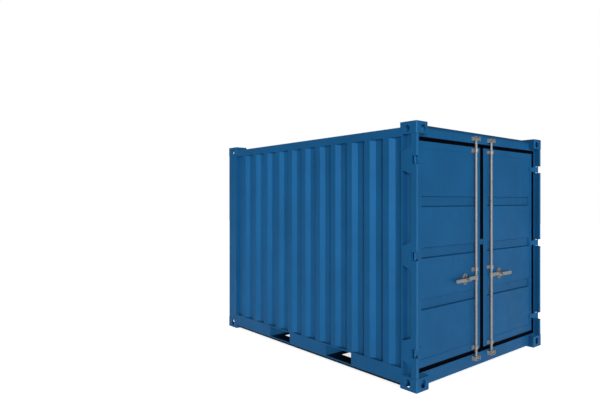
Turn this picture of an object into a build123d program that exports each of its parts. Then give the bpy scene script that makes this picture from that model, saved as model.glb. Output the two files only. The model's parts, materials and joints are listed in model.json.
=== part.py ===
from build123d import *
import math
import os

# Shipping container, storage size. Millimetres, +Z up, door end at -Y, origin at the bottom centre.
# Positions on a side are given as "across" (inward from the left side face), "back" (inward from
# the door end face) and height. left(), front() and rear() turn them into model coordinates.

# Overall size
LENGTH = 2931.0
WIDTH = 2200.0
HEIGHT = 2260.0

# Plates and general fits
SHEET = 2.0                 # corrugated walls and roof
PLATE = 6.0                 # folded rails, header and sill
FACE_INSET = 3.0            # posts and rails sit this far inside the casting faces
MOVING_GAP = 6.0            # clearance round the door leaves
PIN_FIT = 0.3               # radial clearance of a turning pin or rod
OVAL_STEPS = 8              # straight steps round each end of an oval

# Corner castings
CASTING_LENGTH = 174.0
CASTING_WALL = 12.0
CASTING_EDGE = 3.0
SIDE_HOLE_BACK = 96.0       # side and base holes
END_HOLE_ACROSS = 92.0
BASE_HOLE_ACROSS = 74.0
BASE_HOLE = (76.0, 124.0)   # across, along
BOTTOM_CASTING = (168.0, 118.0)             # width, height
BOTTOM_HOLES = (58.0, 65.0, 75.0, 63.0)     # side width, end width, height, centre from the base
TOP_CASTING = (152.0, 103.0)
TOP_HOLES = (46.0, 68.0, 62.0, 59.0)

# Side rails
RAIL_DEPTH = 60.0
BOTTOM_RAIL = (11.0, 172.0)
BOTTOM_LIP_TOP = 35.0
BOTTOM_LIP_SET_BACK = 30.0
TOP_RAIL_HEIGHT = 76.0
TOP_RAIL_DROP = 43.0        # below the top castings' upper face

# Corrugated walls, measured along the wall from the door end
FOLD_PITCH = 225.3
FOLD_OUTER = 68.0
FOLD_SLOPE = 46.0
FOLD_DEPTH = 33.0
FIRST_FOLD = 254.0
WALL_INSET = 6.0

# Roof sheet
ROOF_RIDGE = 90.0           # flat top of a pressed ridge
ROOF_SLOPE = 20.0
ROOF_RISE = 19.0
ROOF_PITCH = 209.0
ROOF_EDGE = 20.0
RIDGE_END = 120.0           # ridge end, from the side face

# Door end frame
DOOR_SET_BACK = 62.0
FRAME_DROP = 20.0           # end rails' top, below the top castings' upper face
SILL_BOTTOM = 15.0
SILL_TOP = 130.0
THRESHOLD_BACK = 118.0

# Front post
POST_BACK = 165.0
POST_FRONT_WIDTH = 35.0
POST_RECESS_FLOOR = 42.0
POST_INNER = 50.0
POST_REAR_FLANGE = 15.0
POST_WALL = 8.0
GUSSET_HIGH = 238.0
GUSSET_LOW = 166.0

# Rear post
REAR_POST_DEPTH = 62.0

# Floor
FLOOR_THICKNESS = 25.0
FLOOR_FIT = 2.0             # between the boards and the walls and posts
CROSS_MEMBER_PITCH = 200.0  # the widest spacing
CROSS_MEMBER_FLANGE = 45.0
CROSS_MEMBER_BOTTOM = 60.0

# Fork pockets
FORK_PITCH = 930.0
FORK_OFFSET = 65.5          # middle of the pair, from mid length towards the door end
FORK_WIDTH = 352.0
FORK_BOTTOM = 53.0
FORK_TOP = 160.0
FORK_FLANGES = (55.0, 68.0)     # at the near and the far wall of a pocket
FORK_STRAP = 140.0

# Hinges
PIN_ACROSS = 20.0
PIN_BACK = 31.0
PIN_RADIUS = 5.5
KNUCKLE_RADIUS = 9.0
KNUCKLE_HEIGHT = 62.0
NOTCH_GAP = 5.0             # over and under a knuckle
NOTCH_DEPTH = 57.0
NOTCH_OVERCUT = 1.0
LUG_HEIGHT = 36.0
BLADE_THICKNESS = 8.0
BLADE_TAIL = (53.0, 46.0, 6.0)  # length on the leaf, height, thickness
HINGE_FROM_END = 326.0      # outer hinges, from the bottom and from the top

# Door leaves
LEAF_OUTER_EDGE = 92.0
LEAF_CENTRE_GAP = 48.0
LEAF_SILL_GAP = 40.0
LEAF_HEADER_GAP = 37.0
LEAF_DEPTH = 50.0
HINGE_STILE = 40.0
CENTRE_STILE = 54.0
LEAF_BOTTOM_RAIL = 67.0
LEAF_TOP_RAIL = 58.0
PANEL_SHEET = 3.0
PANEL_SET_BACK = 3.0
GROOVE_PITCH = 442.0
GROOVE_OFFSET = 13.0        # middle groove, above mid height
GROOVE_HEIGHT = 94.0
GROOVE_UPPER = 6.0          # height of its steep upper side
GROOVE_LOWER = 12.0         # height of its lower side
GROOVE_END = 5.0            # run of its ends
GROOVE_DEPTH = 11.0
GROOVE_MARGIN = 20.0
GASKET_DEPTH = 27.0
GASKET_CENTRE_GAP = 11.0
GASKET_SIDE_GAP = 6.0

# Lock gear
ROD_FROM_CENTRE = 137.0
ROD_BACK = 41.0
ROD_RADIUS = 12.5
KEEPER_FROM_SILL = 33.0     # keeper centre below the sill's top
KEEPER_FROM_HEADER = 40.0
KEEPER_HEIGHT = 38.0
KEEPER_INNER = 34.0         # from the rod's axis to a lug
KEEPER_FRONT = 18.0
KEEPER_PLATE = 6.0
KEEPER_CAP = 4.0
CAM_HOOK = 27.0             # towards the hinge side
CAM_HEEL = 14.0
CAM_FRONT = 18.0
CAM_REAR = 6.0
CAM_HEIGHT = 26.0
GUIDE_PLATE = 4.0
GUIDE_REACH = 45.0
GUIDE_HEIGHT = 32.0
GUIDE_PAD = (19.0, 38.0, 12.0)  # width, height, thickness
SADDLE_HALF = 18.0
SADDLE_BEVEL = 9.0
GUIDE_FROM_LEAF_END = (30.0, 36.0)
GUIDE_OVER_HANDLE = 78.0
HANDLE_HEIGHT = 862.0
HANDLE_REACH = 353.0
HANDLE_FRONT = 18.0
HANDLE_THICKNESS = 10.0
HANDLE_BAR = 31.0
HANDLE_BAR_DROP = 4.0
HANDLE_END_RADIUS = 7.0
ARM_HEIGHT = 32.0
ARM_RAISE = 5.0
ARM_THICKNESS = 8.0
ARM_REACH = 135.0
JOINT_LAP = 22.0
RIVET_RADIUS = 6.0
RIVET_HEAD = 3.0
HUB_RADIUS = 18.0
HUB_HEIGHT = 48.0
CATCH_FROM_ROD = 168.0
CATCH_SIZE = (54.0, 106.0)
CATCH_WALL = 7.0
CATCH_DEPTH = 15.0
CATCH_REST = (30.0, 22.0)   # width, height
TAB_ABOVE_MIDDLE = 65.5
TAB_HEIGHT = 53.0
TAB_OVERLAP = 30.0

# Levels and places that follow from the sizes above
TOP_RAIL = (HEIGHT - TOP_RAIL_DROP - TOP_RAIL_HEIGHT, HEIGHT - TOP_RAIL_DROP)
HEADER_BOTTOM = TOP_RAIL[0]
FRAME_TOP = HEIGHT - FRAME_DROP
POST_RUN = (BOTTOM_CASTING[1], HEIGHT - TOP_CASTING[1])
FLOOR_BOTTOM = BOTTOM_RAIL[1]
FLOOR_TOP = FLOOR_BOTTOM + FLOOR_THICKNESS
WALL_INNER = WALL_INSET + FOLD_DEPTH + SHEET
LEAF_BOTTOM = SILL_TOP + LEAF_SILL_GAP
LEAF_TOP = HEADER_BOTTOM - LEAF_HEADER_GAP
NOTCH_HEIGHT = KNUCKLE_HEIGHT + 2 * NOTCH_GAP
HINGE_HEIGHTS = (HINGE_FROM_END, HEIGHT / 2, HEIGHT - HINGE_FROM_END)
GROOVE_HEIGHTS = [HEIGHT / 2 + GROOVE_OFFSET + step * GROOVE_PITCH for step in (-1, 0, 1)]
KEEPER_HEIGHTS = (SILL_TOP - KEEPER_FROM_SILL, HEADER_BOTTOM + KEEPER_FROM_HEADER)
GUIDE_HEIGHTS = (LEAF_BOTTOM + GUIDE_FROM_LEAF_END[0], HANDLE_HEIGHT + GUIDE_OVER_HANDLE,
                 LEAF_TOP - GUIDE_FROM_LEAF_END[1])

LEFT_SIDE = -WIDTH / 2
DOOR_END = -LENGTH / 2


def left(across):
    return LEFT_SIDE + across


def front(back):
    return DOOR_END + back


def rear(inward):
    return -DOOR_END - inward


def block(x, y, z):
    """Box between the two limits given for each axis."""
    centre = [(low + high) / 2 for low, high in (x, y, z)]
    size = [abs(high - low) for low, high in (x, y, z)]
    return Pos(*centre) * Box(*size)


def side_block(across, back, z):
    return block([left(a) for a in across], [front(b) for b in back], z)


def upright(x, y, radius, z):
    """Vertical round bar."""
    return Pos(x, y, (z[0] + z[1]) / 2) * Cylinder(radius, abs(z[1] - z[0]))


def prism(points, plane, start, end):
    face = make_face(Polyline(*points, close=True))
    return extrude(plane.offset(start) * face, amount=end - start)


def other_side(part):
    return mirror(part, about=Plane.YZ)


def other_end(part):
    return mirror(part, about=Plane.XZ)


def both_sides(part):
    return Compound(children=[part, other_side(part)])


def oval(width, height):
    """Face with straight sides and stepped round ends, its height along local y."""
    radius = min(width, height) / 2
    turn = 0 if height > width else -90
    shift = Vector(0, (height - width) / 2) if height > width else Vector((width - height) / 2, 0)
    points = []
    for end in (1, -1):
        for step in range(OVAL_STEPS + 1):
            angle = 180 * step / OVAL_STEPS + turn + (0 if end > 0 else 180)
            points.append(shift * end + Vector(radius, 0).rotate(Axis.Z, angle))
    return make_face(Polyline(*points, close=True))


def oval_cutter(plane, width, height, depth):
    return extrude(plane * oval(width, height), amount=depth, both=True)


# Corner castings

def casting(size, holes):
    """Hollow door-end left corner block, standing on its base plate, with three outward holes."""
    width, height = size
    side_width, end_width, hole_height, level = holes
    outer = side_block((0, width), (0, CASTING_LENGTH), (0, height))
    outer = chamfer(outer.edges(), CASTING_EDGE)
    inside = side_block((CASTING_WALL, width - CASTING_WALL), (CASTING_WALL, CASTING_LENGTH - CASTING_WALL),
                        (CASTING_WALL, height - CASTING_WALL))
    side_plane = Plane(origin=(left(0), front(SIDE_HOLE_BACK), level), x_dir=(0, 1, 0), z_dir=(-1, 0, 0))
    end_plane = Plane(origin=(left(END_HOLE_ACROSS), front(0), level), x_dir=(1, 0, 0), z_dir=(0, -1, 0))
    base_plane = Plane.XY.move(Location((left(BASE_HOLE_ACROSS), front(SIDE_HOLE_BACK), 0)))
    hollow_block = outer - inside
    hollow_block -= oval_cutter(side_plane, side_width, hole_height, CASTING_WALL)
    hollow_block -= oval_cutter(end_plane, end_width, hole_height, CASTING_WALL)
    slot = base_plane * SlotOverall(BASE_HOLE[1], BASE_HOLE[0], rotation=90)
    hollow_block -= extrude(slot, amount=CASTING_WALL, both=True)
    return hollow_block


def bottom_casting():
    return casting(BOTTOM_CASTING, BOTTOM_HOLES)


def top_casting():
    return Pos(0, 0, HEIGHT) * mirror(casting(TOP_CASTING, TOP_HOLES), about=Plane.XY)


def casting_space(size, z):
    """Boxes that the left castings take at one level, for cutting the rails that meet them."""
    near = side_block((0, size[0]), (0, CASTING_LENGTH), z)
    return near + other_end(near)


# Posts

def gusset(height):
    """Band across the post recess that backs up one hinge."""
    near = front(DOOR_SET_BACK)
    far = front(POST_BACK - POST_REAR_FLANGE)
    points = [(near, height - GUSSET_HIGH / 2), (far, height - GUSSET_LOW / 2),
              (far, height + GUSSET_LOW / 2), (near, height + GUSSET_HIGH / 2)]
    return prism(points, Plane.YZ, left(FACE_INSET), left(FACE_INSET + PLATE))


def front_post():
    """Folded post: a tube in front, a recess behind it and a rear flange, notched for the hinges."""
    tube = side_block((FACE_INSET, POST_FRONT_WIDTH), (FACE_INSET, DOOR_SET_BACK), POST_RUN)
    hollow = side_block((FACE_INSET + POST_WALL, POST_FRONT_WIDTH - POST_WALL),
                        (FACE_INSET + POST_WALL, DOOR_SET_BACK - POST_WALL), POST_RUN)
    post = tube - hollow
    post += side_block((POST_RECESS_FLOOR, POST_INNER), (DOOR_SET_BACK, POST_BACK), POST_RUN)
    post += side_block((POST_FRONT_WIDTH - POST_WALL, POST_INNER),
                       (DOOR_SET_BACK - PLATE, DOOR_SET_BACK + POST_WALL), POST_RUN)
    post += side_block((FACE_INSET, POST_INNER), (POST_BACK - POST_REAR_FLANGE, POST_BACK), POST_RUN)
    for height in HINGE_HEIGHTS:
        half = NOTCH_HEIGHT / 2
        post += side_block((FACE_INSET, POST_FRONT_WIDTH), (FACE_INSET, DOOR_SET_BACK),
                           (height - half - LUG_HEIGHT, height + half + LUG_HEIGHT))
        post += gusset(height)
        post -= side_block((0, POST_FRONT_WIDTH + NOTCH_OVERCUT), (0, NOTCH_DEPTH),
                           (height - half, height + half))
        post -= hinge_pin(height)
    return post


def hinge_pin(height):
    reach = NOTCH_HEIGHT / 2 + LUG_HEIGHT / 2
    return upright(left(PIN_ACROSS), front(PIN_BACK), PIN_RADIUS, (height - reach, height + reach))


def hinge_pins():
    return Compound(children=[hinge_pin(height) for height in HINGE_HEIGHTS])


def rear_post():
    """Plain box post, with a shelf at its head that runs under the top casting."""
    outer = block((left(FACE_INSET), left(REAR_POST_DEPTH)), (rear(POST_BACK), rear(FACE_INSET)), POST_RUN)
    inner = block((left(FACE_INSET + PLATE), left(REAR_POST_DEPTH - PLATE)),
                  (rear(POST_BACK - PLATE), rear(FACE_INSET + PLATE)), POST_RUN)
    shelf = block((left(REAR_POST_DEPTH), left(TOP_CASTING[0])), (rear(POST_BACK), rear(FACE_INSET)),
                  (TOP_RAIL[0], POST_RUN[1]))
    return outer - inner + shelf


# Rails, header and sill

def rail_run():
    return (front(POST_BACK), rear(POST_BACK))


def top_side_rail():
    y = rail_run()
    outer = block((left(FACE_INSET), left(FACE_INSET + RAIL_DEPTH)), y, TOP_RAIL)
    inner = block((left(FACE_INSET + PLATE), left(FACE_INSET + RAIL_DEPTH - PLATE)), y,
                  (TOP_RAIL[0] + PLATE, TOP_RAIL[1] - PLATE))
    return outer - inner - casting_space(TOP_CASTING, (POST_RUN[1], HEIGHT))


def fork_centres():
    middle = LENGTH / 2 - FORK_OFFSET
    return (middle - FORK_PITCH / 2, middle + FORK_PITCH / 2)


def fork_limits(centre):
    return (front(centre - FORK_WIDTH / 2), front(centre + FORK_WIDTH / 2))


def bottom_side_rail():
    """Folded channel with a set-back bottom lip and two fork openings."""
    y = rail_run()
    face = left(FACE_INSET)
    lip = face + BOTTOM_LIP_SET_BACK
    web = block((face, face + PLATE), y, (BOTTOM_LIP_TOP, BOTTOM_RAIL[1]))
    top = block((face, face + RAIL_DEPTH), y, (BOTTOM_RAIL[1] - PLATE, BOTTOM_RAIL[1]))
    step = block((face, lip + PLATE), y, (BOTTOM_LIP_TOP, BOTTOM_LIP_TOP + PLATE))
    drop = block((lip, lip + PLATE), y, (BOTTOM_RAIL[0], BOTTOM_LIP_TOP + PLATE))
    foot = block((lip, face + RAIL_DEPTH), y, (BOTTOM_RAIL[0], BOTTOM_RAIL[0] + PLATE))
    rail = web + top + step + drop + foot
    for centre in fork_centres():
        rail -= block((left(0), lip), fork_limits(centre), (FORK_BOTTOM, FORK_TOP))
    return rail - casting_space(BOTTOM_CASTING, (0, POST_RUN[0]))


def header():
    """Box beam over the doorway, with a bottom plate that runs under the castings."""
    x = (left(TOP_CASTING[0]), -left(TOP_CASTING[0]))
    y = (front(DOOR_SET_BACK), front(CASTING_LENGTH))
    outer = block(x, y, (HEADER_BOTTOM, FRAME_TOP))
    inner = block(x, (y[0] + PLATE, y[1] - PLATE), (HEADER_BOTTOM + PLATE, FRAME_TOP - PLATE))
    under = block((left(POST_INNER), -left(POST_INNER)), (y[0], front(POST_BACK)),
                  (HEADER_BOTTOM, POST_RUN[1]))
    return outer - inner + under


def sill():
    """Folded sill, with a threshold plate behind the leaves up to the floor."""
    x = (left(BOTTOM_CASTING[0]), -left(BOTTOM_CASTING[0]))
    wide = (left(POST_INNER), -left(POST_INNER))
    face = front(DOOR_SET_BACK)
    back = front(CASTING_LENGTH)
    web = block(x, (face, face + PLATE), (SILL_BOTTOM, SILL_TOP))
    foot = block(x, (face, back), (SILL_BOTTOM, SILL_BOTTOM + PLATE))
    rear_web = block(x, (back - PLATE, back), (SILL_BOTTOM, SILL_TOP))
    top = block(wide, (face, front(POST_BACK)), (POST_RUN[0], SILL_TOP))
    riser_y = (front(THRESHOLD_BACK), front(THRESHOLD_BACK) + PLATE)
    riser = block(wide, riser_y, (POST_RUN[0], FLOOR_TOP))
    bridge = block(x, (front(POST_BACK), back), (POST_RUN[0], SILL_TOP))
    return web + foot + rear_web + top + riser + bridge


def rear_top_rail():
    x = (left(TOP_CASTING[0]), -left(TOP_CASTING[0]))
    y = (rear(CASTING_LENGTH), rear(FACE_INSET))
    bottom = TOP_RAIL[0]
    outer = block(x, y, (bottom, FRAME_TOP))
    inner = block(x, (y[0] + PLATE, y[1] - PLATE), (bottom + PLATE, FRAME_TOP - PLATE))
    under = block(x, (rear(POST_BACK), y[1]), (bottom, POST_RUN[1]))
    return outer - inner + under


def rear_bottom_rail():
    x = (left(BOTTOM_CASTING[0]), -left(BOTTOM_CASTING[0]))
    wide = (left(REAR_POST_DEPTH), -left(REAR_POST_DEPTH))
    face = rear(FACE_INSET)
    web = block(x, (face - PLATE, face), BOTTOM_RAIL)
    above = block(wide, (face - PLATE, face), (POST_RUN[0], BOTTOM_RAIL[1]))
    foot = block(x, (face - RAIL_DEPTH, face), (BOTTOM_RAIL[0], BOTTOM_RAIL[0] + PLATE))
    top = block(wide, (face - RAIL_DEPTH, face), (BOTTOM_RAIL[1] - PLATE, BOTTOM_RAIL[1]))
    return web + above + foot + top


# Corrugated sheets

def fold_line(start, end, first, pitch, outer_flat, slope, depth, count):
    """Points (distance along, depth inward) of a folded sheet's outer face."""
    points = [(start, depth)]
    for index in range(count):
        foot = first + index * pitch
        crest = foot + slope
        points += [(foot, depth), (crest, 0), (crest + outer_flat, 0), (crest + outer_flat + slope, depth)]
    points.append((end, depth))
    return points


def with_thickness(points, sheet):
    return points + [(along, inward + sheet) for along, inward in reversed(points)]


def side_wall():
    crest_run = FOLD_OUTER + 2 * FOLD_SLOPE
    room = LENGTH - POST_BACK - FIRST_FOLD - crest_run
    count = int(room // FOLD_PITCH) + 1
    line = fold_line(POST_BACK, LENGTH - POST_BACK, FIRST_FOLD, FOLD_PITCH,
                     FOLD_OUTER, FOLD_SLOPE, FOLD_DEPTH, count)
    outline = [(left(WALL_INSET + inward), front(along)) for along, inward in with_thickness(line, SHEET)]
    return prism(outline, Plane.XY, BOTTOM_RAIL[1], TOP_RAIL[0])


def rear_wall():
    span = WIDTH - 2 * REAR_POST_DEPTH
    crest_run = FOLD_OUTER + 2 * FOLD_SLOPE
    count = int((span - FOLD_OUTER) // FOLD_PITCH)
    first = (WIDTH - (count - 1) * FOLD_PITCH - crest_run) / 2
    line = fold_line(REAR_POST_DEPTH, WIDTH - REAR_POST_DEPTH, first, FOLD_PITCH,
                     FOLD_OUTER, FOLD_SLOPE, FOLD_DEPTH, count)
    outline = [(left(along), rear(WALL_INSET + inward)) for along, inward in with_thickness(line, SHEET)]
    return prism(outline, Plane.XY, BOTTOM_RAIL[1], TOP_RAIL[0])


def roof():
    """Flat sheet on the side rails, with closed ridges pressed up across it."""
    run = LENGTH - 2 * CASTING_LENGTH
    top = TOP_RAIL[1] + SHEET
    sheet = block((left(ROOF_EDGE), -left(ROOF_EDGE)), (-run / 2, run / 2), (TOP_RAIL[1], top))
    foot = Rectangle(WIDTH - 2 * RIDGE_END, ROOF_RIDGE + 2 * ROOF_SLOPE)
    taper = math.degrees(math.atan(ROOF_SLOPE / ROOF_RISE))
    count = int((run - ROOF_RIDGE - 2 * ROOF_SLOPE) // ROOF_PITCH)
    for place in GridLocations(0, ROOF_PITCH, 1, count):
        ridge = place * extrude(Plane.XY.offset(top) * foot, amount=ROOF_RISE, taper=taper)
        sheet += ridge
        sheet -= Pos(0, 0, -SHEET) * ridge
    return sheet


# Floor and base

def floor():
    """Boards between the walls, reaching forward to the threshold and back to the rear wall."""
    z = (FLOOR_BOTTOM, FLOOR_TOP)
    parts = [(WALL_INNER, front(POST_BACK), rear(POST_BACK)),
             (POST_INNER, front(THRESHOLD_BACK) + PLATE, front(POST_BACK)),
             (REAR_POST_DEPTH, rear(POST_BACK), rear(WALL_INNER + FLOOR_FIT))]
    boards = None
    for across, near, far in parts:
        edge = left(across + FLOOR_FIT)
        piece = block((edge, -edge), (near, far), z)
        boards = piece if boards is None else boards + piece
    return boards


def cross_member_rows():
    """Faces of the channels, evenly spaced in the bays before, between and behind the fork pockets."""
    reach = FORK_WIDTH / 2 + PLATE
    near, far = fork_centres()
    rows = []
    for start, end in ((CASTING_LENGTH, near - reach), (near + reach, far - reach),
                       (far + reach, LENGTH - CASTING_LENGTH)):
        spaces = math.ceil((end - start) / CROSS_MEMBER_PITCH)
        rows += [front(start + (end - start) * step / spaces - CROSS_MEMBER_FLANGE / 2)
                 for step in range(1, spaces)]
    return rows


def cross_members():
    """Channels across the base between the rails."""
    x = (left(FACE_INSET + RAIL_DEPTH), -left(FACE_INSET + RAIL_DEPTH))
    members = []
    for y in cross_member_rows():
        web = block(x, (y, y + PLATE), (CROSS_MEMBER_BOTTOM, FLOOR_BOTTOM))
        top = block(x, (y, y + CROSS_MEMBER_FLANGE), (FLOOR_BOTTOM - PLATE, FLOOR_BOTTOM))
        foot = block(x, (y, y + CROSS_MEMBER_FLANGE), (CROSS_MEMBER_BOTTOM, CROSS_MEMBER_BOTTOM + PLATE))
        members.append(web + top + foot)
    return Compound(children=members)


def fork_tunnel(centre):
    """Walls, roof, bottom flanges and end straps of one fork pocket."""
    near, far = fork_limits(centre)
    x = (left(FACE_INSET + PLATE), -left(FACE_INSET + PLATE))
    z = (FORK_BOTTOM - PLATE, FORK_TOP + PLATE)
    tunnel = block(x, (near - PLATE, near), z) + block(x, (far, far + PLATE), z)
    tunnel += block(x, (near - PLATE, far + PLATE), (FORK_TOP, FORK_TOP + PLATE))
    flange_z = (FORK_BOTTOM - PLATE, FORK_BOTTOM)
    tunnel += block(x, (near - PLATE, near + FORK_FLANGES[0]), flange_z)
    tunnel += block(x, (far - FORK_FLANGES[1], far + PLATE), flange_z)
    strap_end = x[0] + FORK_STRAP
    tunnel += block((x[0], strap_end), (near, far), flange_z)
    tunnel += block((-strap_end, x[1]), (near, far), flange_z)
    return tunnel


def fork_pockets():
    return Compound(children=[fork_tunnel(centre) for centre in fork_centres()])


# Door leaves, left one; the right one is its mirror image

def leaf_inner_edge():
    return WIDTH / 2 - LEAF_CENTRE_GAP / 2


def leaf_opening():
    """Limits across and in height of the panel inside the leaf's frame."""
    across = (LEAF_OUTER_EDGE + HINGE_STILE, leaf_inner_edge() - CENTRE_STILE)
    return across, (LEAF_BOTTOM + LEAF_BOTTOM_RAIL, LEAF_TOP - LEAF_TOP_RAIL)


def groove(across, face, height):
    """Pressed groove: flat floor, steep upper side and ends, a softer lower side."""
    mouth = front(face)
    floor_line = mouth + GROOVE_DEPTH
    top = height + GROOVE_HEIGHT / 2
    bottom = height - GROOVE_HEIGHT / 2
    section = prism([(mouth, top), (floor_line, top - GROOVE_UPPER), (floor_line, bottom + GROOVE_LOWER),
                     (mouth, bottom)], Plane.YZ, left(across[0]), left(across[1]))
    ends = [left(a) for a in across]
    plan = [(ends[0], mouth), (ends[1], mouth), (ends[1] - GROOVE_END, floor_line),
            (ends[0] + GROOVE_END, floor_line)]
    return section & prism(plan, Plane.XY, bottom, top)


def door_panel():
    """Sheet set a little behind the leaf's frame, with three grooves pressed into it."""
    across, z = leaf_opening()
    face = DOOR_SET_BACK + PANEL_SET_BACK
    panel = side_block(across, (face, face + PANEL_SHEET), z)
    reach = (across[0] + GROOVE_MARGIN, across[1] - GROOVE_MARGIN)
    for height in GROOVE_HEIGHTS:
        panel += groove(reach, face + PANEL_SHEET, height)
        panel -= groove(reach, face, height)
    return panel


def door_leaf():
    across = (LEAF_OUTER_EDGE, leaf_inner_edge())
    back = (DOOR_SET_BACK, DOOR_SET_BACK + LEAF_DEPTH)
    opening, z = leaf_opening()
    ring = side_block(across, back, (LEAF_BOTTOM, LEAF_TOP)) - side_block(opening, back, z)
    return ring + door_panel()


def gasket():
    """Rubber seal round one leaf, flush with its outer face and standing out past its edges."""
    hinge_edge = POST_INNER + GASKET_SIDE_GAP
    centre_edge = WIDTH / 2 - GASKET_CENTRE_GAP / 2
    back = (DOOR_SET_BACK, DOOR_SET_BACK + GASKET_DEPTH)
    outer = side_block((hinge_edge, centre_edge), back,
                       (SILL_TOP + MOVING_GAP, HEADER_BOTTOM - MOVING_GAP))
    inner = side_block((LEAF_OUTER_EDGE, leaf_inner_edge()), back, (LEAF_BOTTOM, LEAF_TOP))
    return outer - inner


def hinge_blade(height):
    """Knuckle on the pin, and the cranked blade that narrows to a tail on the leaf."""
    length, tail_height, thickness = BLADE_TAIL
    half = KNUCKLE_HEIGHT / 2
    z = (height - half, height + half)
    tail_front = DOOR_SET_BACK - thickness
    tail_end = LEAF_OUTER_EDGE + length
    skew = BLADE_THICKNESS / 2
    plan = [(PIN_ACROSS, PIN_BACK - skew), (LEAF_OUTER_EDGE, tail_front), (tail_end, tail_front),
            (tail_end, DOOR_SET_BACK), (LEAF_OUTER_EDGE, DOOR_SET_BACK), (PIN_ACROSS, PIN_BACK + skew)]
    blade = prism([(left(a), front(b)) for a, b in plan], Plane.XY, *z)
    shoulder = PIN_ACROSS + KNUCKLE_RADIUS
    elevation = [(PIN_ACROSS, -half), (shoulder, -half), (LEAF_OUTER_EDGE, -tail_height / 2),
                 (tail_end, -tail_height / 2), (tail_end, tail_height / 2),
                 (LEAF_OUTER_EDGE, tail_height / 2), (shoulder, half), (PIN_ACROSS, half)]
    side_view = make_face(Polyline(*[(left(a), height + h) for a, h in elevation], close=True))
    blade &= extrude(Plane.XZ.offset(-front(0)) * side_view, amount=-DOOR_SET_BACK)
    knuckle = upright(left(PIN_ACROSS), front(PIN_BACK), KNUCKLE_RADIUS, z)
    bore = upright(left(PIN_ACROSS), front(PIN_BACK), PIN_RADIUS + PIN_FIT, z)
    return blade + knuckle - bore


def hinge_blades():
    return Compound(children=[hinge_blade(height) for height in HINGE_HEIGHTS])


def rod_across():
    return WIDTH / 2 - ROD_FROM_CENTRE


def leaf_face_back(height):
    """Depth of the leaf's outer face at one height: its edge rails stand out past the panel."""
    panel_z = leaf_opening()[1]
    on_rail = height < panel_z[0] or height > panel_z[1]
    return DOOR_SET_BACK if on_rail else DOOR_SET_BACK + PANEL_SET_BACK


def centred(middle, size):
    return (middle - size / 2, middle + size / 2)


def rod_guide(height):
    """Bracket on the leaf: a plate with a bolt pad, and a bevelled saddle round the lock rod."""
    axis = rod_across()
    face = leaf_face_back(height)
    z = centred(height, GUIDE_HEIGHT)
    plate = side_block((axis - GUIDE_REACH, axis + GUIDE_REACH), (face - GUIDE_PLATE, face), z)
    pad_width, pad_height, pad_thickness = GUIDE_PAD
    pad = side_block((axis - GUIDE_REACH, axis - GUIDE_REACH + pad_width),
                     (face - pad_thickness, face), centred(height, pad_height))
    crown = ROD_BACK - SADDLE_HALF
    half = [(SADDLE_HALF, face), (SADDLE_HALF, crown + SADDLE_BEVEL), (SADDLE_HALF - SADDLE_BEVEL, crown)]
    outline = half + [(-a, b) for a, b in reversed(half)]
    saddle = prism([(left(axis + a), front(b)) for a, b in outline], Plane.XY, *z)
    bore = upright(left(axis), front(ROD_BACK), ROD_RADIUS + PIN_FIT, z)
    return plate + pad + saddle - bore


def rod_guides():
    return Compound(children=[rod_guide(height) for height in GUIDE_HEIGHTS])


def handle_catch():
    """Oval dish on the leaf, with a rest in it that reaches up behind the handle's bar."""
    centre = rod_across() - CATCH_FROM_ROD
    face = leaf_face_back(HANDLE_HEIGHT)
    width, height = CATCH_SIZE
    plane = Plane(origin=(left(centre), front(face), HANDLE_HEIGHT), x_dir=(1, 0, 0), z_dir=(0, -1, 0))
    outer = plane * oval(width, height)
    inner = plane * oval(width - 2 * CATCH_WALL, height - 2 * CATCH_WALL)
    dish = extrude(outer, amount=GUIDE_PLATE) + extrude(outer - inner, amount=CATCH_DEPTH)
    rest_width, rest_height = CATCH_REST
    rest = side_block(centred(centre, rest_width), (HANDLE_FRONT + HANDLE_THICKNESS + MOVING_GAP, face),
                      centred(HANDLE_HEIGHT - HANDLE_BAR_DROP, rest_height))
    return dish + rest


def centre_tab():
    """Small plate on the left leaf that covers the centre gap."""
    edge = leaf_inner_edge()
    return side_block((edge - TAB_OVERLAP, edge + LEAF_CENTRE_GAP - 2 * MOVING_GAP),
                      (DOOR_SET_BACK - GUIDE_PLATE, DOOR_SET_BACK),
                      centred(HEIGHT / 2 + TAB_ABOVE_MIDDLE, TAB_HEIGHT))


def rod_end_inset():
    """From a keeper's middle to the rod's end, which clears the keeper's cap."""
    return KEEPER_HEIGHT / 2 - KEEPER_CAP - MOVING_GAP


def lock_rod():
    """Upright rod with a cam block at each end."""
    axis = rod_across()
    ends = (KEEPER_HEIGHTS[0] - rod_end_inset(), KEEPER_HEIGHTS[1] + rod_end_inset())
    rod = upright(left(axis), front(ROD_BACK), ROD_RADIUS, ends)
    for z in ((ends[0], ends[0] + CAM_HEIGHT), (ends[1] - CAM_HEIGHT, ends[1])):
        rod += side_block((axis - CAM_HOOK, axis + CAM_HEEL), (ROD_BACK - CAM_FRONT, ROD_BACK + CAM_REAR), z)
    return rod


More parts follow.
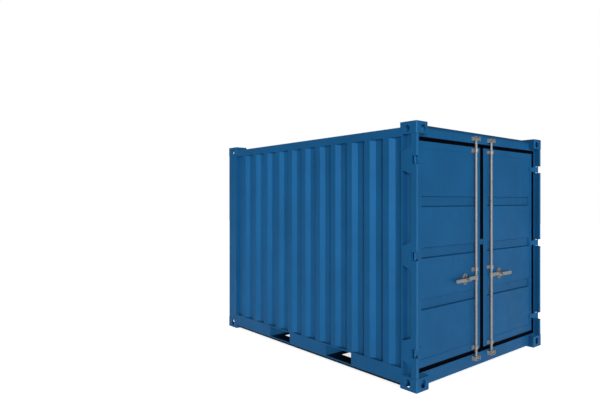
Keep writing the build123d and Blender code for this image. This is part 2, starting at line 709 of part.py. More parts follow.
def lock_handle():
    """Hub on the rod with a short arm, and the hand bar riveted to its front."""
    axis = rod_across()
    x, y = left(axis), front(ROD_BACK)
    bar_back = HANDLE_FRONT + HANDLE_THICKNESS
    hub_z = centred(HANDLE_HEIGHT, HUB_HEIGHT)
    arm = side_block((axis - ARM_REACH, axis), (bar_back - ARM_THICKNESS, bar_back),
                     centred(HANDLE_HEIGHT + ARM_RAISE, ARM_HEIGHT))
    joint = axis - ARM_REACH + JOINT_LAP
    bar = side_block((axis - HANDLE_REACH, joint), (HANDLE_FRONT, bar_back),
                     centred(HANDLE_HEIGHT - HANDLE_BAR_DROP, HANDLE_BAR))
    bar = fillet(bar.edges().filter_by(Axis.Y), HANDLE_END_RADIUS)
    head = Plane(origin=(left(joint - JOINT_LAP), front(HANDLE_FRONT), HANDLE_HEIGHT), z_dir=(0, -1, 0))
    rivet = extrude(head * Circle(RIVET_RADIUS), amount=RIVET_HEAD)
    return upright(x, y, HUB_RADIUS, hub_z) + arm + bar + rivet - upright(x, y, ROD_RADIUS, hub_z)


def keeper(height, outward):
    """Two lugs on the header or sill, with a cap past the rod's end and an open front."""
    axis = rod_across()
    depth = (KEEPER_FRONT, DOOR_SET_BACK)
    z = centred(height, KEEPER_HEIGHT)
    outer = KEEPER_INNER + KEEPER_PLATE
    cup = side_block((axis - outer, axis - KEEPER_INNER), depth, z)
    cup += side_block((axis + KEEPER_INNER, axis + outer), depth, z)
    end = height + outward * KEEPER_HEIGHT / 2
    return cup + side_block((axis - outer, axis + outer), depth, (end - outward * KEEPER_CAP, end))


def keepers():
    pairs = [both_sides(keeper(height, outward)) for height, outward in zip(KEEPER_HEIGHTS, (-1, 1))]
    return Compound(children=pairs)


def write(name, part):
    part.label = name
    export_step(part, "parts/" + name + ".step")


def write_pair(name, part):
    write(name + "_left", part)
    write(name + "_right", other_side(part))


os.makedirs("parts", exist_ok=True)

write("castings_door_bottom", both_sides(bottom_casting()))
write("castings_door_top", both_sides(top_casting()))
write("castings_rear_bottom", both_sides(other_end(bottom_casting())))
write("castings_rear_top", both_sides(other_end(top_casting())))
write_pair("front_post", front_post())
write_pair("rear_post", rear_post())
write_pair("top_rail", top_side_rail())
write_pair("bottom_rail", bottom_side_rail())
write("header", header())
write("sill", sill())
write("rear_top_rail", rear_top_rail())
write("rear_bottom_rail", rear_bottom_rail())
write_pair("side_wall", side_wall())
write("rear_wall", rear_wall())
write("roof", roof())
write("floor", floor())
write("cross_members", cross_members())
write("fork_pockets", fork_pockets())
write_pair("hinge_pins", hinge_pins())
write("keepers", keepers())
write_pair("door_leaf", door_leaf())
write_pair("gasket", gasket())
write_pair("hinge_blades", hinge_blades())
write_pair("rod_guides", rod_guides())
write_pair("handle_catch", handle_catch())
write("centre_tab", centre_tab())
write_pair("lock_rod", lock_rod())
write_pair("lock_handle", lock_handle())
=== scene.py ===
import json
import math
import random

import bpy
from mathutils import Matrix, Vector

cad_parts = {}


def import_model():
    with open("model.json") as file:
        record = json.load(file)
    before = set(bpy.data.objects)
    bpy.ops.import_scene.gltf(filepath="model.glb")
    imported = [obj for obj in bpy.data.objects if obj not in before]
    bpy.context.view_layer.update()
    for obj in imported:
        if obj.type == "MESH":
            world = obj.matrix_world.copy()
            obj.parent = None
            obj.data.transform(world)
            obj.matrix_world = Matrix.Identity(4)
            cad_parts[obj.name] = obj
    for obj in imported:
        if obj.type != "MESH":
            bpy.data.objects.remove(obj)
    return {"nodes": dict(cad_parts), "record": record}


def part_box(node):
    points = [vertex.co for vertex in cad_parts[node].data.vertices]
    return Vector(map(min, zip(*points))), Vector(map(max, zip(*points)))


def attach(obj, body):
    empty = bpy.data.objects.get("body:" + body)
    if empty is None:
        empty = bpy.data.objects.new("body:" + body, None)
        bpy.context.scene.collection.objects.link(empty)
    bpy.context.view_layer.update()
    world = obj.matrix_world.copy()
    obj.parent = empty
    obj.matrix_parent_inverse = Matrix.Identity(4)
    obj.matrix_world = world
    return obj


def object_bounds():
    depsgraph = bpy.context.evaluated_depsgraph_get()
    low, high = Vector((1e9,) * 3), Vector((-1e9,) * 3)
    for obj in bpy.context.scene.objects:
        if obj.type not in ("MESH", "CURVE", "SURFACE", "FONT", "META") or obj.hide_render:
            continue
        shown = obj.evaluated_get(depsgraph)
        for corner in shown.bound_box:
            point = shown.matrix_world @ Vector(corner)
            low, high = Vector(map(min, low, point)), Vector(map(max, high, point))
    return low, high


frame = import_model()
cad_low, cad_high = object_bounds()
NODES = frame["nodes"]
random.seed(11)

# Places that follow from the frame, in metres

HALF_WIDTH = cad_high[0]
HEIGHT = cad_high[2]
DOOR_Y = cad_low[1]
REAR_Y = cad_high[1]
HEADER_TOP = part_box("header")[1][2]

# Sizes of the solids in metres: inward from a side face, back from the door end, or heights

BOTTOM_CASTING_WIDTH = 0.168
TOP_CASTING_WIDTH = 0.152
CASTING_SKIN = 0.011                # a little less than a casting's wall
SIDE_CHEEK_HALF = 0.002             # half the band that holds a casting's inner side face

FRAME_INSET = 0.003                 # posts and rails, inside the casting faces
POST_BACK = 0.165                   # rear edge of a front post, and the same from the rear end
FRONT_POST_WIDTH = 0.035
REAR_POST_WIDTH = 0.062
POST_RECESS = (0.008, 0.0425)
POST_RECESS_RUN = (0.0625, 0.1505)
POST_JAMB = (0.0335, 0.0365)        # band that holds the face beside the door
POST_JAMB_RUN = (0.006, 0.0615)
FRONT_FACES = 0.004                 # depth that holds the front faces of posts and castings
CORNER_STRIP = 0.02
# Painted shade along the header's rolled top edge grows from the first depth to the second
HEADER_SHADE_SPAN = (0.034, 0.006)        # below the header's top, where its rolled edge begins and ends

# The rails' lips below this height are black, a coat that also stands in for painted shade
RAIL_COAT_AND_SHADE_TOP = 0.042               # top of a side rail's set-back lip
# Below and above these heights a fork pocket is black, a coat that also stands in for painted shade on its
# floor and ceiling
POCKET_BLUE = (0.0535, 0.1595)      # heights between which a fork pocket's walls are blue

PANEL_FACE = 0.065
GROOVE_PITCH = 0.442
GROOVE_OFFSET = 0.013               # middle groove, above mid height
GROOVE_LEVELS = [HEIGHT / 2 + GROOVE_OFFSET + step * GROOVE_PITCH for step in (-1, 0, 1)]
GROOVE_HALF = 0.048                 # a little over half a groove's height
GROOVE_WALLS = (0.0006, 0.0102)     # depths in a pressed groove
GROOVE_FLOOR = (0.0102, 0.012)

FOLD_PITCH = 0.2253
FOLD_OUTER = 0.068
FOLD_SLOPE = 0.046
FOLD_DEPTH = 0.033
FIRST_FOLD = 0.254
FOLD_COUNT = 11
WALL_INSET = 0.006

BOARD_WIDTH = 0.3
BOARD_JOINT = 0.012                 # share of a board's width

ROD_FROM_CENTRE = 0.137
CATCH_FROM_ROD = 0.168
CATCH_FLOOR = 0.061
CATCH_PAINTED_SHADE_FROM = 0.0602            # just in front of the dish's floor
GUIDE_PLATE = 0.004
GUIDE_TAB = 0.0345                  # bolt in the plate's tab, from the rod's axis
GUIDE_PAD = 0.0355                  # middle of the pad, from the rod's axis
PAD_THICKNESS = 0.012
PAD_HEIGHT = 0.038
OUTER_GUIDE_FACE = 0.062            # the leaf's face behind the upper and lower guides
MIDDLE_GUIDE_LEVEL = 0.940

# Sizes of the small fittings, in metres

WELD_RADIUS = 0.003
WELD_RIPPLE = 0.011
WELD_LIFT = 0.004                   # clearance of an upright weld over the casting
REAR_WELD_INSET = 0.004             # from the rear end
RAIL_WELD_LOWEST = 0.02             # above the ground, at the sill
RAIL_WELD_STOP = 0.06               # below the top of the header and the sill
WASHER = 0.0015
BOLT_BEVEL = 0.0008
SMALL_BOLT = (0.0045, 0.006)        # radius, height
TAB_BOLT = (0.0055, 0.007)
PAD_BOLT_OFFSET = 0.010
CATCH_BOLT_INSET = 0.016
LIP_WIDTH = 0.006
LIP_MEETING_WIDTH = 0.0285          # on the left seal, where the leaves meet
LIP_PROUD = 0.004
LATCH_FROM_CATCH = (-0.015, 0.006)  # across and up, from the catch's middle
LATCH_SLANT = -32                   # degrees
LATCH_HALF_RUN = 0.025
LATCH_RADIUS = 0.007
LATCH_THICKNESS = 0.003

# Bevel widths of the solids' edges, by the start of a node's name

BEVELS = {"front_post": 0.0025, "rear_post": 0.005, "top_rail": 0.005, "bottom_rail": 0.002, "header": 0.004,
          "sill": 0.002, "rear_top_rail": 0.004, "rear_bottom_rail": 0.002, "door_leaf": 0.0015,
          "hinge_blades": 0.0015, "rod_guides": 0.001, "handle_catch": 0.001, "lock_rod": 0.0012,
          "lock_handle": 0.0012, "keepers": 0.0012, "fork_pockets": 0.0015, "centre_tab": 0.001}
LIP_BEVEL = 0.0018
LATCH_BEVEL = 0.0008

# Camera, floor and light

CAMERA_PLACE = (-4.4672, -4.0400, 1.5998)
CAMERA_TURN = -39.508               # degrees about the upright axis
CAMERA_LENS = 30.075                # millimetres, for a sensor 36 wide
FLOOR_SIZE = 60
FLOOR_GLOW = 0.8
AMBIENT = 0.14


# Colours

def linear(red, green, blue):
    """Colour from 0-255 display values to the linear values that shaders take."""
    values = []
    for value in (red, green, blue):
        value /= 255
        values.append(value / 12.92 if value <= 0.04045 else ((value + 0.055) / 1.055) ** 2.4)
    return (*values, 1.0)


def scaled(colour, factor):
    return (colour[0] * factor, colour[1] * factor, colour[2] * factor, 1.0)


BLUE = linear(24, 90, 139)
# Painted light: a painted highlight on the front corners, and paler paint forward in the posts' recesses
PAINTED_LIGHT_TONE = linear(70, 150, 205)
# Painted light inside the castings, so that their holes look blue
CASTING_PAINTED_LIGHT = linear(52, 136, 192)
# Painted shade in grooves, recesses, jambs, the castings' inner sides and along the header's top edge
PAINTED_SHADE = linear(5, 30, 52)
DUST = linear(84, 92, 98)
# Black coat of the underside; on the rails' set-back lips and the fork pockets' ceilings and floors it is
# also painted shade
BLACK_COAT = linear(14, 24, 40)
ZINC = linear(139, 138, 137)
KEEPER_ZINC = linear(152, 150, 147)
# Dark zinc of the latch tongues, a painted shadow of the catches on the handles' bars
LATCH_SHADOW_TONE = linear(88, 79, 72)
# Painted shade in the hollow of the handle catches' dishes
BROWN_STAIN = linear(104, 92, 80)
DISH_PAINTED_SHADE = linear(74, 62, 54)
PIN_GREY = linear(52, 62, 74)
RUBBER_BLACK = linear(1, 1, 5)
PLY_BROWN = linear(128, 88, 56)
PLY_WORN = linear(120, 104, 88)
FLOOR_WHITE = linear(238, 238, 238)


# Materials

class Shader:
    """A material with one Principled shader and short helpers for its node tree."""

    def __init__(self, name, roughness, metallic=0.0, gloss=0.3):
        self.material = bpy.data.materials.new(name)
        self.material.use_nodes = True
        self.tree = self.material.node_tree
        self.bsdf = self.tree.nodes["Principled BSDF"]
        self.bsdf.inputs["Roughness"].default_value = roughness
        self.bsdf.inputs["Metallic"].default_value = metallic
        self.bsdf.inputs["Specular IOR Level"].default_value = gloss
        self.coords = self.add("ShaderNodeTexCoord").outputs["Object"]

    def add(self, kind):
        return self.tree.nodes.new(kind)

    def link(self, output, target):
        self.tree.links.new(output, target)

    def feed(self, value, socket):
        """Set a socket to a plain value, or link it to another node's output."""
        if isinstance(value, (int, float, tuple)):
            socket.default_value = value
        else:
            self.link(value, socket)

    def noise(self, scale, detail=4.0, stretch=(1, 1, 1)):
        mapping = self.add("ShaderNodeMapping")
        mapping.inputs["Scale"].default_value = stretch
        node = self.add("ShaderNodeTexNoise")
        node.inputs["Scale"].default_value = scale
        node.inputs["Detail"].default_value = detail
        self.link(self.coords, mapping.inputs["Vector"])
        self.link(mapping.outputs["Vector"], node.inputs["Vector"])
        return node.outputs["Fac"]

    def ramp(self, value, stops):
        node = self.add("ShaderNodeValToRGB")
        points = node.color_ramp.elements
        while len(points) < len(stops):
            points.new(0.5)
        for point, (place, colour) in zip(points, stops):
            point.position = place
            point.color = colour
        self.link(value, node.inputs["Fac"])
        return node.outputs["Color"]

    def remap(self, value, low, high, out_low, out_high):
        node = self.add("ShaderNodeMapRange")
        node.inputs["From Min"].default_value = low
        node.inputs["From Max"].default_value = high
        node.inputs["To Min"].default_value = out_low
        node.inputs["To Max"].default_value = out_high
        self.link(value, node.inputs["Value"])
        return node.outputs["Result"]

    def mix(self, factor, first, second):
        node = self.add("ShaderNodeMix")
        node.data_type = "RGBA"
        for socket, value in ((node.inputs[0], factor), (node.inputs[6], first), (node.inputs[7], second)):
            self.feed(value, socket)
        return node.outputs[2]

    def compute(self, operation, first, second=0.0):
        node = self.add("ShaderNodeMath")
        node.operation = operation
        self.feed(first, node.inputs[0])
        self.feed(second, node.inputs[1])
        return node.outputs[0]

    def product(self, first, *others):
        for other in others:
            first = self.compute("MULTIPLY", first, other)
        return first

    def between(self, value, low, high):
        return self.product(self.compute("GREATER_THAN", value, low), self.compute("LESS_THAN", value, high))

    def tint(self, tone, colour, share, *masks):
        """Mix a share of a colour into the tone, where all the masks hold."""
        return self.mix(self.product(*masks, share), tone, colour)

    def place(self, axis):
        """Place of the point along one axis, in the object's own coordinates."""
        split = self.add("ShaderNodeSeparateXYZ")
        self.link(self.coords, split.inputs[0])
        return split.outputs[axis]

    def inward(self):
        """Distance of the point from the nearer side face."""
        return self.compute("SUBTRACT", HALF_WIDTH, self.compute("ABSOLUTE", self.place("X")))

    def back(self):
        """Distance of the point from the door end."""
        return self.compute("SUBTRACT", self.place("Y"), DOOR_Y)

    def bump(self, value, distance, strength):
        node = self.add("ShaderNodeBump")
        node.inputs["Distance"].default_value = distance
        node.inputs["Strength"].default_value = strength
        self.link(value, node.inputs["Height"])
        self.link(node.outputs["Normal"], self.bsdf.inputs["Normal"])

    def colour(self, output):
        self.link(output, self.bsdf.inputs["Base Color"])

    def rough(self, output):
        self.link(output, self.bsdf.inputs["Roughness"])


def groove_painted_shade(shader, tone):
    """Painted shade on the walls of a leaf's pressed grooves, and a fainter painted shade on their floors."""
    depth = shader.compute("SUBTRACT", shader.back(), PANEL_FACE)
    height = shader.place("Z")
    bands = 0.0
    for level in GROOVE_LEVELS:
        band = shader.between(height, level - GROOVE_HALF, level + GROOVE_HALF)
        bands = shader.compute("ADD", bands, band)
    tone = shader.tint(tone, PAINTED_SHADE, 0.5, bands, shader.between(depth, *GROOVE_WALLS))
    return shader.tint(tone, PAINTED_SHADE, 0.07, bands, shader.between(depth, *GROOVE_FLOOR))


def header_painted_shade(shader, tone):
    """Painted shade along the header's rolled top edge."""
    start, end = (HEADER_TOP - drop for drop in HEADER_SHADE_SPAN)
    edge = shader.remap(shader.place("Z"), start, end, 0.0, 0.62)
    return shader.mix(edge, tone, PAINTED_SHADE)


def painted_corner_highlight(shader, tone, share):
    """Painted highlight on the front face, along its outer corner."""
    strip = shader.compute("LESS_THAN", shader.inward(), CORNER_STRIP)
    front = shader.compute("LESS_THAN", shader.back(), FRONT_FACES)
    return shader.tint(tone, PAINTED_LIGHT_TONE, share, strip, front)


def casting_light_and_shade(width):
    """Painted light and shade for castings that wide: paler inside as painted light, so that their holes look
    blue, a painted shade on their inner sides and a painted highlight along the front corner.
    """
    def painted_light_and_shade(shader, tone):
        inward = shader.inward()
        behind = shader.compute("GREATER_THAN", shader.back(), CASTING_SKIN)
        inside = shader.between(inward, CASTING_SKIN, width - CASTING_SKIN)
        level = shader.between(shader.place("Z"), CASTING_SKIN, HEIGHT - CASTING_SKIN)
        cheek = shader.between(inward, width - SIDE_CHEEK_HALF, width + SIDE_CHEEK_HALF)
        tone = shader.tint(tone, PAINTED_SHADE, 0.35, cheek, behind)
        tone = shader.mix(shader.product(inside, behind, level), tone, CASTING_PAINTED_LIGHT)
        return painted_corner_highlight(shader, tone, 0.13)
    return painted_light_and_shade


def post_light_and_shade(shader, tone):
    """Painted light and shade on a front post: painted shade rearward and painted light forward in its side
    recess, painted shade on its face beside the door, and a painted highlight along its front corner.
    """
    inward = shader.inward()
    back = shader.back()
    recess = shader.product(shader.between(inward, *POST_RECESS), shader.between(back, *POST_RECESS_RUN))
    jamb = shader.product(shader.between(inward, *POST_JAMB), shader.between(back, *POST_JAMB_RUN))
    tone = shader.tint(tone, PAINTED_SHADE, shader.remap(back, 0.085, 0.14, 0.0, 0.08), recess)
    tone = shader.tint(tone, PAINTED_SHADE, 0.3, jamb)
    tone = shader.tint(tone, PAINTED_LIGHT_TONE, shader.remap(back, 0.062, 0.14, 0.6, 0.0), recess)
    return painted_corner_highlight(shader, tone, 0.22)


def blue_paint(name="blue_paint", coat_and_shade_below=None, coat_and_shade_above=None, painted_light_and_shade=None):
    """Satin blue with faint runs and dust; below or above a height it is black like the underside, a coat
    that on the rails' lips and in the fork pockets is also painted shade.
    """
    shader = Shader(name, 0.5, 0.2, 0.08)
    tone = shader.ramp(shader.noise(2.2, 5.0), [(0.3, scaled(BLUE, 0.9)), (0.7, scaled(BLUE, 1.07))])
    streaks = shader.remap(shader.noise(1.0, 6.0, (26, 26, 1.1)), 0.56, 0.8, 0.0, 0.22)
    tone = shader.mix(streaks, tone, scaled(BLUE, 0.62))
    near_ground = shader.remap(shader.place("Z"), 0.0, 0.34, 0.07, 0.0)
    dust = shader.product(near_ground, shader.remap(shader.noise(9.0, 6.0), 0.35, 0.65, 0.2, 1.0))
    tone = shader.mix(dust, tone, DUST)
    # Black coat, on the rails' lips and in the fork pockets also painted shade
    for operation, height in (("LESS_THAN", coat_and_shade_below), ("GREATER_THAN", coat_and_shade_above)):
        if height is not None:
            coat_and_shade = shader.compute(operation, shader.place("Z"), height)
            tone = shader.mix(coat_and_shade, tone, BLACK_COAT)
    # Painted light and shade that a node's own function adds
    if painted_light_and_shade is not None:
        tone = painted_light_and_shade(shader, tone)
    shader.colour(tone)
    shader.rough(shader.remap(shader.noise(14.0, 5.0), 0.3, 0.7, 0.48, 0.58))
    shader.bump(shader.noise(170.0, 2.0), 0.0006, 0.25)
    return shader.material


def undercoat():
    shader = Shader("undercoat", 0.7, gloss=0.1)
    stops = [(0.3, scaled(BLACK_COAT, 0.7)), (0.75, scaled(BLACK_COAT, 1.6))]
    shader.colour(shader.ramp(shader.noise(5.0, 5.0), stops))
    shader.rough(shader.remap(shader.noise(18.0, 4.0), 0.3, 0.7, 0.6, 0.8))
    shader.bump(shader.noise(90.0, 3.0), 0.001, 0.4)
    return shader.material


def galvanised(name="galvanised", grey=ZINC, painted_shade_from=None):
    """Spangled zinc with brown stains, and a painted shade from the given distance behind the door end."""
    shader = Shader(name, 0.5, 0.35)
    cells = shader.add("ShaderNodeTexVoronoi")
    cells.inputs["Scale"].default_value = 130.0
    shader.link(shader.coords, cells.inputs["Vector"])
    split = shader.add("ShaderNodeSeparateColor")
    shader.link(cells.outputs["Color"], split.inputs[0])
    spangle = split.outputs[0]
    tone = shader.ramp(spangle, [(0.0, scaled(grey, 0.8)), (1.0, scaled(grey, 1.12))])
    stain = shader.remap(shader.noise(30.0, 5.0), 0.52, 0.75, 0.0, 0.45)
    tone = shader.mix(stain, tone, BROWN_STAIN)
    # Painted shade in the hollow of the catch's dish
    if painted_shade_from is not None:
        floor = shader.compute("GREATER_THAN", shader.back(), painted_shade_from)
        tone = shader.tint(tone, DISH_PAINTED_SHADE, 0.6, floor)
    shader.colour(tone)
    shader.rough(shader.remap(spangle, 0.0, 1.0, 0.42, 0.6))
    shader.bump(shader.noise(240.0, 3.0), 0.0004, 0.3)
    return shader.material


def pin_steel():
    shader = Shader("pin_steel", 0.42, 0.6)
    stops = [(0.3, scaled(PIN_GREY, 0.7)), (0.7, scaled(PIN_GREY, 1.1))]
    shader.colour(shader.ramp(shader.noise(60.0, 4.0), stops))
    shader.rough(shader.remap(shader.noise(90.0, 3.0), 0.3, 0.7, 0.35, 0.5))
    return shader.material


def seal_rubber():
    shader = Shader("seal_rubber", 0.85, gloss=0.02)
    stops = [(0.3, scaled(RUBBER_BLACK, 0.7)), (0.75, scaled(RUBBER_BLACK, 1.7))]
    shader.colour(shader.ramp(shader.noise(22.0, 5.0), stops))
    shader.rough(shader.remap(shader.noise(35.0, 4.0), 0.3, 0.7, 0.62, 0.8))
    return shader.material


def plywood():
    """Worn boards with their grain and dark joints along the box."""
    shader = Shader("plywood", 0.62)
    grain = shader.noise(3.0, 8.0, (16, 1, 16))
    stops = [(0.25, scaled(PLY_BROWN, 0.62)), (0.5, PLY_BROWN), (0.75, scaled(PLY_BROWN, 1.3))]
    worn = shader.remap(shader.noise(1.6, 5.0), 0.45, 0.75, 0.0, 0.5)
    tone = shader.mix(worn, shader.ramp(grain, stops), PLY_WORN)
    across = shader.compute("FRACT", shader.compute("DIVIDE", shader.place("X"), BOARD_WIDTH))
    joint = shader.compute("LESS_THAN", across, BOARD_JOINT)
    shader.colour(shader.mix(joint, tone, scaled(PLY_BROWN, 0.12)))
    shader.rough(shader.remap(grain, 0.2, 0.8, 0.55, 0.75))
    shader.bump(grain, 0.001, 0.4)
    return shader.material


MATERIALS = {"blue_paint": blue_paint(), "galvanised": galvanised(), "pin_steel": pin_steel(),
             "seal_rubber": seal_rubber(), "plywood": plywood(), "undercoat": undercoat()}
# Dark zinc for the latch tongues, a painted shadow of the catches
LATCH_SHADOW_ZINC = galvanised("galvanised_latch_shadow", LATCH_SHADOW_TONE)

# Materials of their own, by the start of a node's name

SPECIAL = {"bottom_rail": blue_paint("blue_paint_rail", RAIL_COAT_AND_SHADE_TOP),
           "fork_pockets": blue_paint("blue_paint_pockets", *POCKET_BLUE),
           "front_post": blue_paint("blue_paint_post", painted_light_and_shade=post_light_and_shade),
           "header": blue_paint("blue_paint_header", painted_light_and_shade=header_painted_shade),
           "castings_door_bottom": blue_paint("blue_paint_casting_bottom",
                                              painted_light_and_shade=casting_light_and_shade(BOTTOM_CASTING_WIDTH)),
           "castings_door_top": blue_paint("blue_paint_casting_top",
                                           painted_light_and_shade=casting_light_and_shade(TOP_CASTING_WIDTH)),
           "keepers": galvanised("galvanised_keepers", KEEPER_ZINC),
           "door_leaf": blue_paint("blue_paint_leaf", painted_light_and_shade=groove_painted_shade),
           "handle_catch": galvanised("galvanised_catch", painted_shade_from=CATCH_PAINTED_SHADE_FROM)}


def first_match(table, name, otherwise=None):
    """The table's entry whose key the name starts with."""
    for prefix, value in table.items():
        if name.startswith(prefix):
            return value
    return otherwise


def soften(piece, width):
    edge = piece.modifiers.new("soft_edges", "BEVEL")
    edge.width = width
    edge.segments = 2
    edge.limit_method = "ANGLE"
    edge.angle_limit = math.radians(40)


# Finish and softened edges of the solids

for entry in frame["record"]["subparts"]:
    node = NODES[entry["node"]]
    node.data.materials.clear()
    node.data.materials.append(first_match(SPECIAL, entry["node"], MATERIALS[entry["material_slot"]]))

for node_name, node in NODES.items():
    bevel = first_match(BEVELS, node_name)
    if bevel is not None:
        soften(node, bevel)


# Small fittings: beads of weld, bolt heads, the lips of the seals and the handles' latch tongues, dark as a
# painted shadow of the catches

class Shape:
    """Vertices and faces that are gathered into one piece."""

    def __init__(self):
        self.points = []
        self.faces = []

    def rings(self, loops):
        """Skin through loops of equal length, with both ends capped."""
        start = len(self.points)
        count = len(loops[0])
        for loop in loops:
            self.points += [tuple(point) for point in loop]
        for ring in range(len(loops) - 1):
            low, high = start + ring * count, start + (ring + 1) * count
            for index in range(count):
                following = (index + 1) % count
                self.faces.append((low + index, low + following, high + following, high + index))
        last = start + (len(loops) - 1) * count
        self.faces.append(tuple(reversed(range(start, start + count))))
        self.faces.append(tuple(range(last, last + count)))

    def box(self, low, high):
        bottom = [(low[0], low[1]), (high[0], low[1]), (high[0], high[1]), (low[0], high[1])]
        self.rings([[(x, y, z) for x, y in bottom] for z in (low[2], high[2])])

    def bead(self, path):
        """Rippled bead of weld along straight runs."""
        for start, end in zip(path, path[1:]):
            start, end = Vector(start), Vector(end)
            line = end - start
            if line.length < WELD_RIPPLE:
                continue
            side = line.normalized().orthogonal().normalized()
            rise = line.normalized().cross(side)
            count = max(2, int(line.length / WELD_RIPPLE))
            loops = []
            for index in range(count + 1):
                size = WELD_RADIUS * random.uniform(0.8, 1.15)
                centre = start + line * (index / count)
                loops.append([centre + size * (math.cos(turn) * side + math.sin(turn) * rise)
                              for turn in (math.radians(60 * corner) for corner in range(6))])
            self.rings(loops)

    def bolt(self, place, radius, height):
        """Six-sided head on a washer, standing out towards the door end."""
        x, y, z = place
        for size, near, far, corners in ((radius * 1.5, 0.0, WASHER, 16), (radius, WASHER, height, 6)):
            turns = [math.tau * corner / corners for corner in range(corners)]
            profile = [(size, near), (size, far - BOLT_BEVEL), (size - BOLT_BEVEL, far)]
            self.rings([[(x + ring * math.cos(turn), y - depth, z + ring * math.sin(turn)) for turn in turns]
                        for ring, depth in profile])

    def piece(self, name, slot, body, material=None):
        mesh = bpy.data.meshes.new(name)
        mesh.from_pydata(self.points, [], self.faces)
        mesh.validate()
        mesh.update()
        made = bpy.data.objects.new(name, mesh)
        bpy.context.scene.collection.objects.link(made)
        made.data.materials.append(material or MATERIALS[slot])
        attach(made, body)
        return made


def wall_path():
    """Plan of a side wall's outer face, from the door end back, as (depth from the side, y)."""
    inner, outer = WALL_INSET + FOLD_DEPTH, WALL_INSET
    path = [(inner, DOOR_Y + POST_BACK)]
    for index in range(FOLD_COUNT):
        foot = DOOR_Y + FIRST_FOLD + index * FOLD_PITCH
        crest = foot + FOLD_SLOPE + FOLD_OUTER
        path += [(inner, foot), (outer, foot + FOLD_SLOPE), (outer, crest), (inner, crest + FOLD_SLOPE)]
    path.append((inner, REAR_Y - POST_BACK))
    return path


def frame_welds():
    """Beads along the walls' feet and heads, and where posts and end rails meet the castings."""
    shape = Shape()
    rail_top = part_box("bottom_rail_left")[1][2]
    wall_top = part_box("top_rail_left")[0][2]
    post_low, post_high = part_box("front_post_left")
    rear_face = REAR_Y - REAR_WELD_INSET
    for side in (-1, 1):
        for height in (rail_top, wall_top):
            shape.bead([(side * (HALF_WIDTH - inward), y, height) for inward, y in wall_path()])
        face = side * -post_low[0]
        for height in (post_low[2], post_high[2]):
            shape.bead([(face, post_high[1], height), (face, post_low[1], height),
                        (side * (HALF_WIDTH - FRONT_POST_WIDTH), post_low[1], height)])
            shape.bead([(face, REAR_Y - POST_BACK, height), (face, rear_face, height),
                        (side * (HALF_WIDTH - REAR_POST_WIDTH), rear_face, height)])
        lip = side * (HALF_WIDTH - FRAME_INSET)
        for y in (DOOR_Y + POST_BACK, REAR_Y - POST_BACK):
            shape.bead([(lip, y, post_low[2] + WELD_LIFT), (lip, y, rail_top)])
    for name, casting_width in (("header", TOP_CASTING_WIDTH), ("sill", BOTTOM_CASTING_WIDTH)):
        low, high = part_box(name)
        for side in (-1, 1):
            edge = side * (HALF_WIDTH - casting_width)
            bottom, top = max(low[2], RAIL_WELD_LOWEST), high[2] - RAIL_WELD_STOP
            shape.bead([(edge, low[1], bottom), (edge, low[1], top)])
    shape.piece("frame_welds", "blue_paint", "container")


def guide_levels(name):
    """Middle of each rod guide, and the depth of the leaf's face behind it."""
    low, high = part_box("rod_guides_" + name)
    return ((low[2] + PAD_HEIGHT / 2, OUTER_GUIDE_FACE), (MIDDLE_GUIDE_LEVEL, PANEL_FACE),
            (high[2] - PAD_HEIGHT / 2, OUTER_GUIDE_FACE))


def door_bolts(side, name):
    """Bolt heads on one leaf's rod guides and handle catch."""
    shape = Shape()
    rod = side * ROD_FROM_CENTRE
    for level, face in guide_levels(name):
        for offset in (-PAD_BOLT_OFFSET, PAD_BOLT_OFFSET):
            pad = (rod + side * GUIDE_PAD, DOOR_Y + face - PAD_THICKNESS, level + offset)
            shape.bolt(pad, *SMALL_BOLT)
        shape.bolt((rod - side * GUIDE_TAB, DOOR_Y + face - GUIDE_PLATE, level), *TAB_BOLT)
    low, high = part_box("handle_catch_" + name)
    for level in (low[2] + CATCH_BOLT_INSET, high[2] - CATCH_BOLT_INSET):
        shape.bolt((rod + side * CATCH_FROM_ROD, DOOR_Y + CATCH_FLOOR, level), *SMALL_BOLT)
    shape.piece("bolts_" + name, "galvanised", "door_" + name)


def seal_lips(name):
    """Rounded lip along the front edge of one leaf's seal, wider where the leaves meet on the left."""
    low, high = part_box("gasket_" + name)
    meeting = LIP_MEETING_WIDTH if name == "left" else LIP_WIDTH
    near, far = low[1] - LIP_PROUD, low[1]
    left, right = low[0] + LIP_WIDTH, high[0] - meeting
    shape = Shape()
    shape.box((low[0], near, low[2]), (left, far, high[2]))
    shape.box((right, near, low[2]), (high[0], far, high[2]))
    shape.box((left, near, low[2]), (right, far, low[2] + LIP_WIDTH))
    shape.box((left, near, high[2] - LIP_WIDTH), (right, far, high[2]))
    soften(shape.piece("seal_lips_" + name, "seal_rubber", "door_" + name), LIP_BEVEL)


def handle_latch_shadow(name):
    """Small dark tongue that lies slantwise over the handle's bar, in front of the catch; its dark zinc is a
    painted shadow of the catch on the bar.
    """
    low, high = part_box("handle_catch_" + name)
    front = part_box("lock_handle_" + name)[0][1]
    across, up = LATCH_FROM_CATCH
    middle = Vector(((low[0] + high[0]) / 2 + across, front, (low[2] + high[2]) / 2 + up))
    slant = Vector((math.cos(math.radians(LATCH_SLANT)), 0, math.sin(math.radians(LATCH_SLANT))))
    rise = Vector((-slant.z, 0, slant.x))
    outline = []
    for end in (1, -1):
        for turn in (math.radians(90 - 30 * step) for step in range(7)):
            run = LATCH_HALF_RUN + LATCH_RADIUS * math.cos(turn)
            outline.append(middle + end * (slant * run + rise * LATCH_RADIUS * math.sin(turn)))
    shape = Shape()
    shape.rings([[point - Vector((0, depth, 0)) for point in outline] for depth in (0.0, LATCH_THICKNESS)])
    soften(shape.piece("latch_shadow_" + name, "galvanised", "rod_" + name, LATCH_SHADOW_ZINC), LATCH_BEVEL)


frame_welds()
for side, name in ((-1, "left"), (1, "right")):
    door_bolts(side, name)
    seal_lips(name)
    handle_latch_shadow(name)


# Floor, light and camera

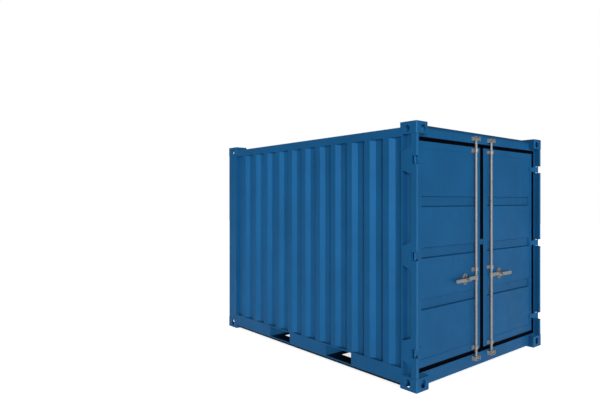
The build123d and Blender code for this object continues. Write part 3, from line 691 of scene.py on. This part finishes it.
def ground():
    """Pale floor that looks white to the camera and in reflections, and keeps the object's shadow."""
    bpy.ops.mesh.primitive_plane_add(size=FLOOR_SIZE, location=(0, 0, 0))
    floor = bpy.context.object
    floor.name = "studio_floor"
    shader = Shader("studio_floor", 0.9)
    shader.colour(shader.ramp(shader.noise(0.5), [(0.3, scaled(FLOOR_WHITE, 0.98)), (0.7, FLOOR_WHITE)]))
    rays = shader.add("ShaderNodeLightPath")
    seen = shader.compute("MAXIMUM", rays.outputs["Is Camera Ray"], rays.outputs["Is Glossy Ray"])
    glow = shader.add("ShaderNodeEmission")
    shader.link(shader.product(seen, FLOOR_GLOW), glow.inputs["Strength"])
    both = shader.add("ShaderNodeAddShader")
    shader.link(shader.bsdf.outputs[0], both.inputs[0])
    shader.link(glow.outputs[0], both.inputs[1])
    shader.link(both.outputs[0], shader.tree.nodes["Material Output"].inputs["Surface"])
    floor.data.materials.append(shader.material)


def world():
    """White to the camera and through clear things, and a weak even light on the object."""
    studio = bpy.data.worlds.new("studio")
    bpy.context.scene.world = studio
    studio.use_nodes = True
    tree = studio.node_tree
    sky = tree.nodes["Background"]
    sky.inputs["Color"].default_value = (1, 1, 1, 1)
    rays = tree.nodes.new("ShaderNodeLightPath")
    seen = tree.nodes.new("ShaderNodeMath")
    seen.operation = "MAXIMUM"
    tree.links.new(rays.outputs["Is Camera Ray"], seen.inputs[0])
    tree.links.new(rays.outputs["Is Transmission Ray"], seen.inputs[1])
    level = tree.nodes.new("ShaderNodeMapRange")
    level.inputs["To Min"].default_value = AMBIENT
    level.inputs["To Max"].default_value = 1.0
    tree.links.new(seen.outputs[0], level.inputs["Value"])
    tree.links.new(level.outputs["Result"], sky.inputs["Strength"])


def sun(name, azimuth, elevation, strength, spread):
    """Distant lamp that shines from the given azimuth (0 is the door end, 90 the right side)."""
    data = bpy.data.lights.new(name, "SUN")
    data.energy = strength
    data.angle = math.radians(spread)
    lamp = bpy.data.objects.new(name, data)
    turn, rise = math.radians(azimuth), math.radians(elevation)
    source = Vector((math.sin(turn) * math.cos(rise), -math.cos(turn) * math.cos(rise), math.sin(rise)))
    lamp.rotation_euler = (-source).to_track_quat("-Z", "Y").to_euler()
    bpy.context.scene.collection.objects.link(lamp)


def camera():
    data = bpy.data.cameras.new("camera")
    data.lens = CAMERA_LENS
    data.sensor_width = 36.0
    view = bpy.data.objects.new("camera", data)
    view.location = CAMERA_PLACE
    view.rotation_euler = (math.radians(90), 0, math.radians(CAMERA_TURN))
    bpy.context.scene.collection.objects.link(view)
    bpy.context.scene.camera = view


ground()
world()
sun("key", azimuth=-38, elevation=4, strength=3.8, spread=30)
sun("top", azimuth=-30, elevation=80, strength=0.5, spread=60)
sun("fill_back", azimuth=150, elevation=20, strength=1.6, spread=30)
camera()
bpy.context.scene.view_settings.view_transform = "Standard"
